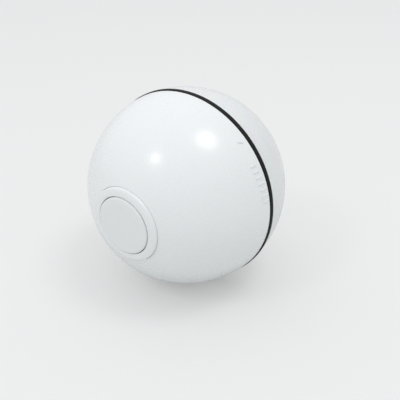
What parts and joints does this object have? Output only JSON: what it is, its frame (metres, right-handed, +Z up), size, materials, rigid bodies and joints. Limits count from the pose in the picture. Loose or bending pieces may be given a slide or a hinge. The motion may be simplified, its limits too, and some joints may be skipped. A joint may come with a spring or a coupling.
{
  "type": "self-rolling pet ball",
  "caption": "Self-rolling light-up pet ball: two half shells joined by a soft seam band, with a press button at one pole and a weighted motor core hanging inside.",
  "frame": {"origin": "centre of the ball, which is the centre of its box to within 0.2 mm", "axes": "-Y through the button, +Y through the top of the clear dome, +Z up, with the ball resting on its seam band"},
  "size_m": [0.0644, 0.0637, 0.0644],
  "materials": {
    "shell_white": "gloss",
    "bezel_white": "gloss",
    "button_white": "satin",
    "dome_milky": "gloss",
    "band_black": "matte",
    "boot_rubber": "matte",
    "gear_plastic": "satin",
    "frame_plastic": "matte",
    "cap_plastic": "satin",
    "brass": "satin",
    "steel": "satin",
    "screw_steel": "satin",
    "motor_steel": "satin",
    "battery_wrap": "satin",
    "board_green": "satin",
    "lamp_clear": "gloss"
  },
  "bodies": {
    "front_half": {"front_shell": "shell_white", "button_bezel": "bezel_white", "ring_gear": "gear_plastic", "hub_clip": "steel"},
    "button": {"power_button": "button_white", "push_rod": "gear_plastic", "return_boot": "boot_rubber"},
    "lock_band": {"seam_band": "band_black"},
    "clear_half": {"rear_dome": "dome_milky"},
    "core": {"core_frame": "frame_plastic", "gear_cover": "frame_plastic", "spin_bush": "brass", "motor_can": "motor_steel", "motor_cap": "cap_plastic", "motor_tabs": "brass", "battery": "battery_wrap", "counterweight": "steel", "weight_screws": "screw_steel", "cover_screws": "screw_steel", "circuit_board": "board_green", "board_screws": "screw_steel", "charging_socket": "steel", "lamps": "lamp_clear", "control_chip": "cap_plastic", "switch_board": "board_green", "press_switch": "cap_plastic", "gear_pins": "steel"},
    "motor_rotor": {"motor_shaft": "steel", "motor_pinion": "brass"},
    "idler": {"idler_gear": "gear_plastic"},
    "final": {"final_gear": "gear_plastic"},
    "plunger": {"switch_plunger": "button_white"}
  },
  "joints": [
    {"name": "core_spin", "type": "hinge", "parent": "front_half", "child": "core", "pos_m": [0, 0, 0], "axis": [0, 1, 0], "continuous": true},
    {"name": "final_spin", "type": "hinge", "parent": "core", "child": "final", "pos_m": [0.01079, 0, 0.00812], "axis": [0, 1, 0], "continuous": true},
    {"name": "idler_spin", "type": "hinge", "parent": "core", "child": "idler", "pos_m": [0.01341, 0, -0.00153], "axis": [0, 1, 0], "continuous": true},
    {"name": "motor_spin", "type": "hinge", "parent": "core", "child": "motor_rotor", "pos_m": [0.00868, 0, -0.01034], "axis": [0, 1, 0], "continuous": true},
    {"name": "button_press", "type": "slide", "parent": "front_half", "child": "button", "axis": [0, 1, 0], "range_m": [0, 0.0005], "stiffness_N_per_m": 1200, "springref_m": -0.0008},
    {"name": "plunger_press", "type": "slide", "parent": "core", "child": "plunger", "axis": [0, 1, 0], "range_m": [0, 0.0005]},
    {"name": "dome_twist", "type": "hinge", "parent": "front_half", "child": "lock_band", "pos_m": [0, 0, 0], "axis": [0, 1, 0], "range_deg": [-25, 0]},
    {"name": "dome_pull", "type": "slide", "parent": "lock_band", "child": "clear_half", "axis": [0, 1, 0], "range_m": [0, 0.045]}
  ],
  "couplings": [
    {"joint": "final_spin", "follows": "core_spin", "ratio": -6.4},
    {"joint": "idler_spin", "follows": "core_spin", "ratio": 19.2},
    {"joint": "motor_spin", "follows": "core_spin", "ratio": -57.6},
    {"joint": "plunger_press", "follows": "button_press", "ratio": 1}
  ]
}
